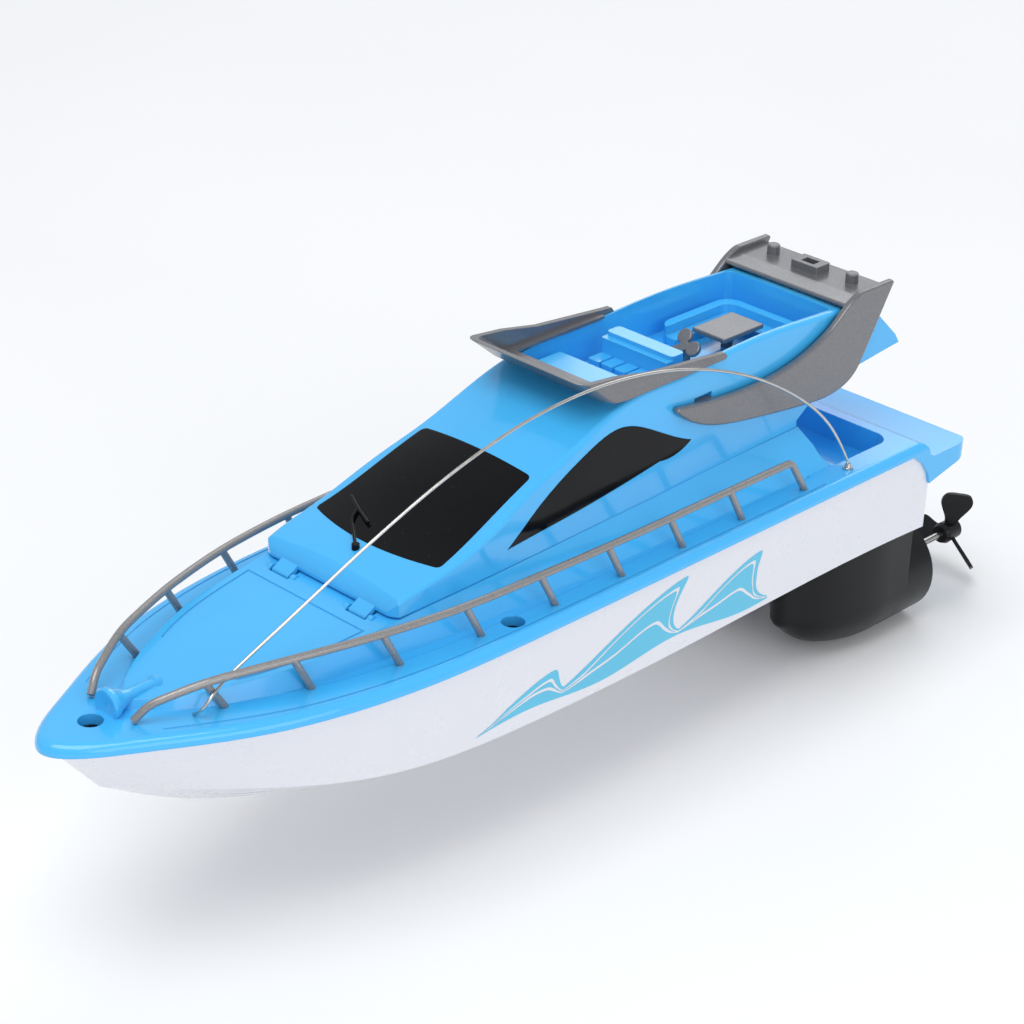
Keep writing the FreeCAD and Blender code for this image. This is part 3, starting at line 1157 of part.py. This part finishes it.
freeform("hull", make_hull())
freeform("deck", make_deck())
freeform("cabin_cover", make_cabin())
freeform("windscreen", make_windscreen())
freeform("flybridge_visor", make_visor())
freeform("radar_arch", make_arch())
freeform("helm_wheel", make_helm())
make_table()
freeform("antenna_wire", make_wire())
freeform("antenna_ferrule", make_ferrule())
for name, side in BOTH:
    freeform("side_window_" + name, make_side_window(side))
    freeform("rail_" + name, make_rail(side))
    freeform("motor_pod_" + name, make_pod(side))
    freeform("propeller_" + name, make_propeller(side))
    make_drive(name, side)
make_battery()
make_board()
freeform("board_components", make_components())
make_switch()
make_screws()
make_leads()

doc.recompute()
for item in doc.Objects:
    if "Invalid" in item.State or "Error" in item.State:
        raise RuntimeError(item.Label + " failed to recompute")
for piece in PIECES:
    shape = piece.Shape
    if shape.isNull() or not shape.isValid():
        raise RuntimeError(piece.Label + " has no valid shape")
    print(piece.Label, shape.ShapeType, len(shape.Solids), round(shape.Volume, 1))
for piece in PIECES:
    piece.Shape.exportStep("parts/" + piece.Label + ".step")
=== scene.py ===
import json
import math

import bmesh
import bpy
from mathutils import Matrix, Vector
from mathutils.bvhtree import BVHTree


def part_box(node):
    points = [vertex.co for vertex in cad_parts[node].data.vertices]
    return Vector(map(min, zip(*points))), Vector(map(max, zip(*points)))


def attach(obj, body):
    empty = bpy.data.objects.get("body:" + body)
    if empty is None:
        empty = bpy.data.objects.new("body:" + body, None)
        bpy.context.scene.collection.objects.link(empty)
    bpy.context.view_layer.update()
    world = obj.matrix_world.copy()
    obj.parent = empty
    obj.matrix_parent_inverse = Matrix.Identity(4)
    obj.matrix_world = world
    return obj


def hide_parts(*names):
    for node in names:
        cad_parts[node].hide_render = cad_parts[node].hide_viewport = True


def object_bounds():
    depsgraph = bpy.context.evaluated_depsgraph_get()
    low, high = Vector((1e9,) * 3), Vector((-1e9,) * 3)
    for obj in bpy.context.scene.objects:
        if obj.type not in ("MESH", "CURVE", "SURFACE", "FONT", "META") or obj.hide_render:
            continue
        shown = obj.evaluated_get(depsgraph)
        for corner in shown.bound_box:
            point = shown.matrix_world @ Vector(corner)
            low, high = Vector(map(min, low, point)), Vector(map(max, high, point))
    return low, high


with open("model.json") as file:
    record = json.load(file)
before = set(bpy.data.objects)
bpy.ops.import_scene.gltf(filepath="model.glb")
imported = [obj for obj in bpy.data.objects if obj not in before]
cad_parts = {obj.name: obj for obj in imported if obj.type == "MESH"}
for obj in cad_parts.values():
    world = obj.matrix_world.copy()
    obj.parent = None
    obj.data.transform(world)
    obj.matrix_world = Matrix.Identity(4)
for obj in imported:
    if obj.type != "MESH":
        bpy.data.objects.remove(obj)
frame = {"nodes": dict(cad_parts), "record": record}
nodes = frame["nodes"]
CAD_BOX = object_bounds()
MM = 0.001

# The boat's drawing axes start at the keel under the stern; the frame's origin is amidships on the floor.
HULL_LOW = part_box("hull")[0]
HULL_LENGTH = 300.0
BOW_X = CAD_BOX[1].x
DATUM = Vector((BOW_X - HULL_LENGTH * MM, 0.0, -CAD_BOX[0].z + HULL_LOW.z))


def boat(x, y, z):
    """A point given in millimetres on the boat's drawing axes, in the frame."""
    return Vector((x * MM, y * MM, z * MM)) + DATUM


# ------------------------------------------------------------ materials ----
def srgb(red, green, blue):
    """A linear colour from its 0 to 255 display values."""

    def channel(value):
        value /= 255.0
        return value / 12.92 if value <= 0.04045 else ((value + 0.055) / 1.055) ** 2.4
    return (channel(red), channel(green), channel(blue), 1.0)


class Finish:
    """A node material under construction: a Principled shader and the nodes that feed it."""

    def __init__(self, name):
        self.material = bpy.data.materials.new(name)
        self.material.use_nodes = True
        self.tree = self.material.node_tree
        self.shader = self.tree.nodes["Principled BSDF"]
        self.place = self.add("ShaderNodeTexCoord").outputs["Object"]

    def add(self, kind, **values):
        node = self.tree.nodes.new(kind)
        for key, value in values.items():
            setattr(node, key, value)
        return node

    def link(self, source, target):
        self.tree.links.new(source, target)

    def set(self, **values):
        for key, value in values.items():
            self.shader.inputs[key.replace("_", " ")].default_value = value

    def noise(self, scale, detail=3.0, roughness=0.5, stretch=(1.0, 1.0, 1.0)):
        mapping = self.add("ShaderNodeMapping")
        mapping.inputs["Scale"].default_value = stretch
        self.link(self.place, mapping.inputs["Vector"])
        node = self.add("ShaderNodeTexNoise")
        node.inputs["Scale"].default_value = scale
        node.inputs["Detail"].default_value = detail
        node.inputs["Roughness"].default_value = roughness
        self.link(mapping.outputs["Vector"], node.inputs["Vector"])
        return node.outputs["Fac"]

    def ramp(self, source, stops):
        node = self.add("ShaderNodeValToRGB")
        elements = node.color_ramp.elements
        while len(elements) < len(stops):
            elements.new(0.5)
        for element, (position, colour) in zip(elements, stops):
            element.position = position
            element.color = colour
        self.link(source, node.inputs["Fac"])
        return node.outputs["Color"]

    def span(self, source, low, high, start=0.3, end=0.7):
        node = self.add("ShaderNodeMapRange")
        node.inputs["From Min"].default_value = start
        node.inputs["From Max"].default_value = end
        node.inputs["To Min"].default_value = low
        node.inputs["To Max"].default_value = high
        self.link(source, node.inputs["Value"])
        return node.outputs["Result"]

    def bump(self, source, distance, strength=1.0, under=None):
        node = self.add("ShaderNodeBump")
        node.inputs["Distance"].default_value = distance
        node.inputs["Strength"].default_value = strength
        self.link(source, node.inputs["Height"])
        if under is not None:
            self.link(under, node.inputs["Normal"])
        return node.outputs["Normal"]


def shade(colour, factor):
    """The colour made lighter or darker."""
    return tuple(min(1.0, channel * factor) for channel in colour[:3]) + (1.0,)


def moulded(name, colour, rough=(0.16, 0.26), coat=0.4, spread=0.05, ripple=0.000035, grain=0.000004,
            metal=0.0, index=1.46, worn_edge=0.35):
    """Injection moulded plastic: slow flow ripples, a fine skin, faint colour streaks and handling haze."""
    finish = Finish(name)
    finish.set(Metallic=metal, IOR=index, Coat_Weight=coat, Coat_Roughness=0.06)
    streak = finish.noise(26.0, 4.0, 0.55, (0.5, 1.4, 1.4))
    finish.link(finish.ramp(streak, [(0.28, shade(colour, 1.0 - spread)), (0.55, colour),
                                     (0.8, shade(colour, 1.0 + 0.6 * spread))]),
                finish.shader.inputs["Base Color"])
    haze = finish.noise(55.0, 5.0, 0.62)
    finish.link(finish.span(haze, rough[0], rough[1]), finish.shader.inputs["Roughness"])
    edge = finish.add("ShaderNodeBevel", samples=4)
    edge.inputs["Radius"].default_value = worn_edge * MM
    slow = finish.bump(finish.noise(34.0, 1.0, 0.4), ripple, 1.0, edge.outputs["Normal"])
    fine = finish.bump(finish.noise(2600.0, 2.0, 0.5), grain, 1.0, slow)
    finish.link(fine, finish.shader.inputs["Normal"])
    return finish


def pearl(name, colour):
    """Silver-grey plastic with metal flake in it."""
    finish = moulded(name, colour, (0.26, 0.36), 0.25, 0.06, 0.00002, 0.000003, 0.45)
    flake = finish.add("ShaderNodeTexVoronoi")
    flake.inputs["Scale"].default_value = 5200.0
    finish.link(finish.place, flake.inputs["Vector"])
    finish.link(finish.ramp(flake.outputs["Color"], [(0.1, shade(colour, 0.82)), (0.6, colour),
                                                     (0.95, shade(colour, 1.25))]),
                finish.shader.inputs["Base Color"])
    return finish


def polished_black(name):
    """Black glazing: a dark polished skin with pin-head dust and faint wipe marks."""
    finish = moulded(name, srgb(12, 12, 14), (0.05, 0.14), 0.0, 0.2, 0.00004, 0.0, 0.0, 1.25)
    speck = finish.add("ShaderNodeTexVoronoi")
    speck.inputs["Scale"].default_value = 420.0
    finish.link(finish.place, speck.inputs["Vector"])
    finish.link(finish.ramp(speck.outputs["Distance"], [(0.02, srgb(90, 88, 86)), (0.045, srgb(12, 12, 14)),
                                                        (1.0, srgb(9, 9, 11))]),
                finish.shader.inputs["Base Color"])
    return finish


def drawn_metal(name, colour, rough=(0.2, 0.32), along=(0.02, 1.0, 1.0)):
    """Metal with fine lines drawn along one axis."""
    finish = Finish(name)
    finish.set(Metallic=1.0, Coat_Weight=0.0)
    line = finish.noise(900.0, 3.0, 0.6, along)
    finish.link(finish.ramp(line, [(0.3, shade(colour, 0.82)), (0.6, colour), (0.85, shade(colour, 1.12))]),
                finish.shader.inputs["Base Color"])
    finish.link(finish.span(line, rough[0], rough[1]), finish.shader.inputs["Roughness"])
    finish.link(finish.bump(line, 0.000006), finish.shader.inputs["Normal"])
    return finish


def circuit_green(name):
    """Solder mask with pale tracks under it."""
    finish = moulded(name, srgb(20, 92, 52), (0.3, 0.4), 0.2, 0.1)
    brick = finish.add("ShaderNodeTexBrick")
    brick.inputs["Scale"].default_value = 180.0
    brick.inputs["Mortar Size"].default_value = 0.02
    brick.inputs["Color1"].default_value = srgb(18, 86, 48)
    brick.inputs["Color2"].default_value = srgb(24, 102, 60)
    brick.inputs["Mortar"].default_value = srgb(60, 140, 90)
    finish.link(finish.place, brick.inputs["Vector"])
    finish.link(brick.outputs["Color"], finish.shader.inputs["Base Color"])
    return finish


def cell_sleeve(name):
    """Battery: a dark sleeve round the barrel, and bare metal on the faces that look along it."""
    finish = moulded(name, srgb(24, 60, 40), (0.22, 0.32), 0.3, 0.1)
    facing = finish.add("ShaderNodeSeparateXYZ")
    finish.link(finish.add("ShaderNodeTexCoord").outputs["Normal"], facing.inputs["Vector"])
    size = finish.add("ShaderNodeMath", operation="ABSOLUTE")
    finish.link(facing.outputs["X"], size.inputs[0])
    finish.link(finish.ramp(size.outputs["Value"], [(0.6, srgb(24, 60, 40)), (0.7, srgb(190, 188, 184))]),
                finish.shader.inputs["Base Color"])
    finish.link(finish.span(size.outputs["Value"], 0.0, 1.0, 0.6, 0.7), finish.shader.inputs["Metallic"])
    return finish


BLUE = srgb(66, 182, 245)
HULL_WHITE = srgb(224, 225, 232)
SILVER = srgb(122, 122, 125)

FINISHES = {
    "blue_plastic": moulded("blue_abs", BLUE, (0.17, 0.27), 0.5, 0.035),
    "hull_plastic": moulded("hull_abs", HULL_WHITE, (0.24, 0.32), 0.2, 0.012, 0.000012, 0.000001,
                            worn_edge=0.0),
    "grey_plastic": pearl("silver_abs", SILVER),
    "window_plastic": polished_black("black_glazing"),
    "black_plastic": moulded("black_pp", srgb(11, 11, 13), (0.3, 0.4), 0.1, 0.2, 0.00005, 0.000008,
                             index=1.32),
    "white_plastic": moulded("white_nylon", srgb(226, 224, 216), (0.35, 0.45), 0.0, 0.04),
    "steel": drawn_metal("wire_steel", srgb(206, 203, 198), (0.14, 0.24)),
    "motor_steel": drawn_metal("zinc_steel", srgb(186, 186, 184)),
    "bronze": drawn_metal("sintered_bronze", srgb(176, 126, 70), (0.4, 0.5)),
    "copper": drawn_metal("wound_copper", srgb(196, 112, 64), (0.3, 0.4), (1.0, 0.05, 0.05)),
    "seal_rubber": moulded("rubber", srgb(30, 30, 30), (0.6, 0.75), 0.0, 0.2),
    "cell_wrap": cell_sleeve("cell_sleeve"),
    "board_green": circuit_green("solder_mask"),
    "chip_black": moulded("epoxy_black", srgb(28, 28, 30), (0.45, 0.55), 0.0, 0.2),
    "wire_red": moulded("pvc_red", srgb(186, 34, 30), (0.35, 0.45), 0.1, 0.08),
    "wire_black": moulded("pvc_black", srgb(26, 26, 26), (0.35, 0.45), 0.1, 0.1),
}
RAIL_SILVER = pearl("rail_silver", srgb(148, 145, 144))
SLOT_OF = {row["node"]: row["material_slot"] for row in frame["record"]["subparts"]}
for name, node in nodes.items():
    node.data.materials.clear()
    finish = RAIL_SILVER if name.startswith("rail_") else FINISHES[SLOT_OF[name]]
    node.data.materials.append(finish.material)


# --------------------------------------------------------------- pieces ----
def new_piece(name, mesh, body, finish):
    piece = bpy.data.objects.new(name, mesh)
    bpy.context.scene.collection.objects.link(piece)
    mesh.materials.append(finish.material)
    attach(piece, body)
    return piece


WIRE_RADIUS = 0.4


def smooth_wire():
    """The sprung steel antenna: up from the side deck, over in one arc and down to the bow rail."""
    arc = [(54.0, 47.0), (57.0, 53.0), (65.5, 64.5), (80.0, 76.0), (99.0, 86.4), (122.0, 93.8), (146.0, 96.4),
           (171.0, 94.0), (196.0, 86.2), (220.0, 75.2), (240.0, 64.6)]
    end = [(255.0, 15.5, 54.4), (261.3, 16.2, 51.9), (265.2, 17.6, 50.9), (267.4, 16.6, 47.4),
           (267.3, 14.0, 45.9)]
    start_x, start_y = arc[0][0], 34.2
    tip_x, tip_y = 266.5, 16.9
    route = [boat(x, start_y + (x - start_x) / (tip_x - start_x) * (tip_y - start_y), z) for x, z in arc]
    route += [boat(*point) for point in end]
    curve = bpy.data.curves.new("antenna_smooth", "CURVE")
    curve.dimensions = "3D"
    curve.bevel_depth = WIRE_RADIUS * MM
    curve.bevel_resolution = 5
    curve.use_fill_caps = True
    curve.resolution_u = 14
    line = curve.splines.new("NURBS")
    line.points.add(len(route) - 1)
    for point, place in zip(line.points, route):
        point.co = (*place, 1.0)
    line.order_u = 3
    line.use_endpoint_u = True
    piece = bpy.data.objects.new("antenna_smooth", curve)
    bpy.context.scene.collection.objects.link(piece)
    curve.materials.append(FINISHES["steel"].material)
    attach(piece, "root")
    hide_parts("antenna_wire")
    return piece


# The print starts at this station and runs forward; above its foot it leans towards the stern.
PRINT_START, PRINT_LENGTH = 88.0, 112.0
PRINT_FOOT = 22.0
LEAN = 0.05
FILM_LIFT = 0.05


def crest(x, place, height, fore, aft):
    """One wave: it rises gently from the bow side and falls steeply on the stern side."""
    reach = fore if x > place else aft
    return height * math.exp(-((x - place) / reach) ** 2)


def wave_top(x):
    """Height of the print's upper edge, where three waves rise."""
    waves = ((176.0, 9.0, 15.0, 6.0), (139.0, 16.5, 22.0, 8.0), (104.0, 12.0, 15.0, 7.0))
    rise = 4.0 * (PRINT_START + PRINT_LENGTH - x) / PRINT_LENGTH
    return 20.6 + rise + max(crest(x, *wave) for wave in waves)


def wave_floor(x):
    """Height of the print's lower edge."""
    return 20.4 + 1.6 * math.sin((x - PRINT_START) / PRINT_LENGTH * math.pi) + 1.2 * math.sin(x / 9.0)


def wave_bands(x):
    """Heights of the printed bands at one station, from the top edge down."""
    taper = min(1.0, (x - PRINT_START) / 9.0, (PRINT_START + PRINT_LENGTH + 1.0 - x) / 12.0)
    top = wave_floor(x) + (wave_top(x) - wave_floor(x)) * taper
    depth = max(top - wave_floor(x), 0.0)
    rim = min(2.0, 0.3 * depth)
    gap = min(0.8, 0.12 * depth)
    curl = 0.5 + 0.5 * math.sin(x / 3.1)
    middle = top - rim - gap
    split = wave_floor(x) + 0.38 * depth + 0.05 * depth * curl
    return ((top - rim, top), (split + gap, middle), (wave_floor(x), split))


def wave_print(name, side):
    """Thin printed film of waves on one side of the hull."""
    hull = nodes["hull"]
    skin = BVHTree.FromPolygons([hull.matrix_world @ vertex.co for vertex in hull.data.vertices],
                                [tuple(face.vertices) for face in hull.data.polygons])

    def on_hull(x, z):
        start = boat(x - LEAN * max(z - PRINT_FOOT, 0.0) ** 2, 60.0 * side, z)
        hit, normal, index, distance = skin.ray_cast(start, Vector((0, -side, 0)))
        return hit + Vector((0, side * FILM_LIFT * MM, 0))

    mesh = bmesh.new()
    steps, rows = 160, 6
    stations = [PRINT_START + 0.5 + PRINT_LENGTH * i / steps for i in range(steps + 1)]
    for band in range(3):
        last = None
        for x in stations:
            low, high = wave_bands(x)[band]
            if high - low < 0.12:
                last = None
                continue
            line = [mesh.verts.new(on_hull(x, low + (high - low) * row / rows)) for row in range(rows + 1)]
            if last is not None:
                for row in range(rows):
                    corners = (last[row], line[row], line[row + 1], last[row + 1])
                    mesh.faces.new(corners if side < 0 else corners[::-1])
            last = line
    data = bpy.data.meshes.new(name)
    mesh.to_mesh(data)
    mesh.free()
    for face in data.polygons:
        face.use_smooth = True
    return new_piece(name, data, "root", FILM)


FILM = moulded("printed_film", srgb(88, 190, 224), (0.26, 0.36), 0.2, 0.03, 0.00002)
smooth_wire()
wave_print("wave_print_port", 1)
wave_print("wave_print_starboard", -1)


# ---------------------------------------------------------------- stage ----
def add_floor():
    """A plain pale floor."""
    mesh = bpy.data.meshes.new("studio_floor")
    half = 6.0
    corners = [(-half, -half, 0), (half, -half, 0), (half, half, 0), (-half, half, 0)]
    mesh.from_pydata(corners, [], [(0, 1, 2, 3)])
    floor = bpy.data.objects.new("studio_floor", mesh)
    bpy.context.scene.collection.objects.link(floor)
    finish = Finish("paper")
    finish.set(Roughness=0.9)
    finish.link(finish.ramp(finish.noise(3.0), [(0.3, (0.9, 0.9, 0.9, 1)), (0.7, (0.93, 0.93, 0.93, 1))]),
                finish.shader.inputs["Base Color"])
    mesh.materials.append(finish.material)


def add_light(name, place, target, width, height, power):
    """A soft rectangular lamp that faces its target."""
    light = bpy.data.lights.new(name, "AREA")
    light.shape = "RECTANGLE"
    light.size = width
    light.size_y = height
    light.energy = power
    lamp = bpy.data.objects.new(name, light)
    bpy.context.scene.collection.objects.link(lamp)
    lamp.location = place
    lamp.rotation_mode = "QUATERNION"
    lamp.rotation_quaternion = (Vector(target) - Vector(place)).to_track_quat("-Z", "Y")


def add_world():
    """Even, slightly cool light from all round."""
    world = bpy.data.worlds.new("studio")
    world.use_nodes = True
    back = world.node_tree.nodes["Background"]
    back.inputs["Color"].default_value = (0.93, 0.96, 1.0, 1.0)
    back.inputs["Strength"].default_value = 0.62
    bpy.context.scene.world = world


def add_camera():
    """Seen from off the port bow, a little above, with a slight roll."""
    azimuth, elevation, roll = (math.radians(value) for value in (133.36, 26.98, 2.12))
    back = Vector((math.sin(azimuth) * math.cos(elevation), -math.cos(azimuth) * math.cos(elevation),
                   math.sin(elevation)))
    right = Vector((0, 0, 1)).cross(back).normalized()
    up = back.cross(right)
    turned_right = right * math.cos(roll) + up * math.sin(roll)
    turned_up = up * math.cos(roll) - right * math.sin(roll)
    lens = bpy.data.cameras.new("camera")
    lens.sensor_width = 36.0
    focal_length_in_frames = 2866.0 / 1024.0
    lens.lens = focal_length_in_frames * lens.sensor_width
    lens.clip_start = 0.01
    camera = bpy.data.objects.new("camera", lens)
    bpy.context.scene.collection.objects.link(camera)
    frame_axes = Matrix((turned_right, turned_up, back)).transposed().to_4x4()
    camera.matrix_world = Matrix.Translation(boat(624.7, 448.6, 384.6)) @ frame_axes
    bpy.context.scene.camera = camera


add_floor()
add_world()
add_light("key", (0.5, 0.1, 1.5), (0, 0, 0.03), 1.2, 0.9, 11.0)
add_light("fill", (0.4, 1.6, 0.7), (0, 0, 0.03), 1.4, 1.0, 7.5)
add_light("rim", (-1.3, -0.6, 1.1), (0, 0, 0.05), 1.0, 0.8, 4.5)
add_camera()
bpy.context.scene.view_settings.view_transform = "Standard"
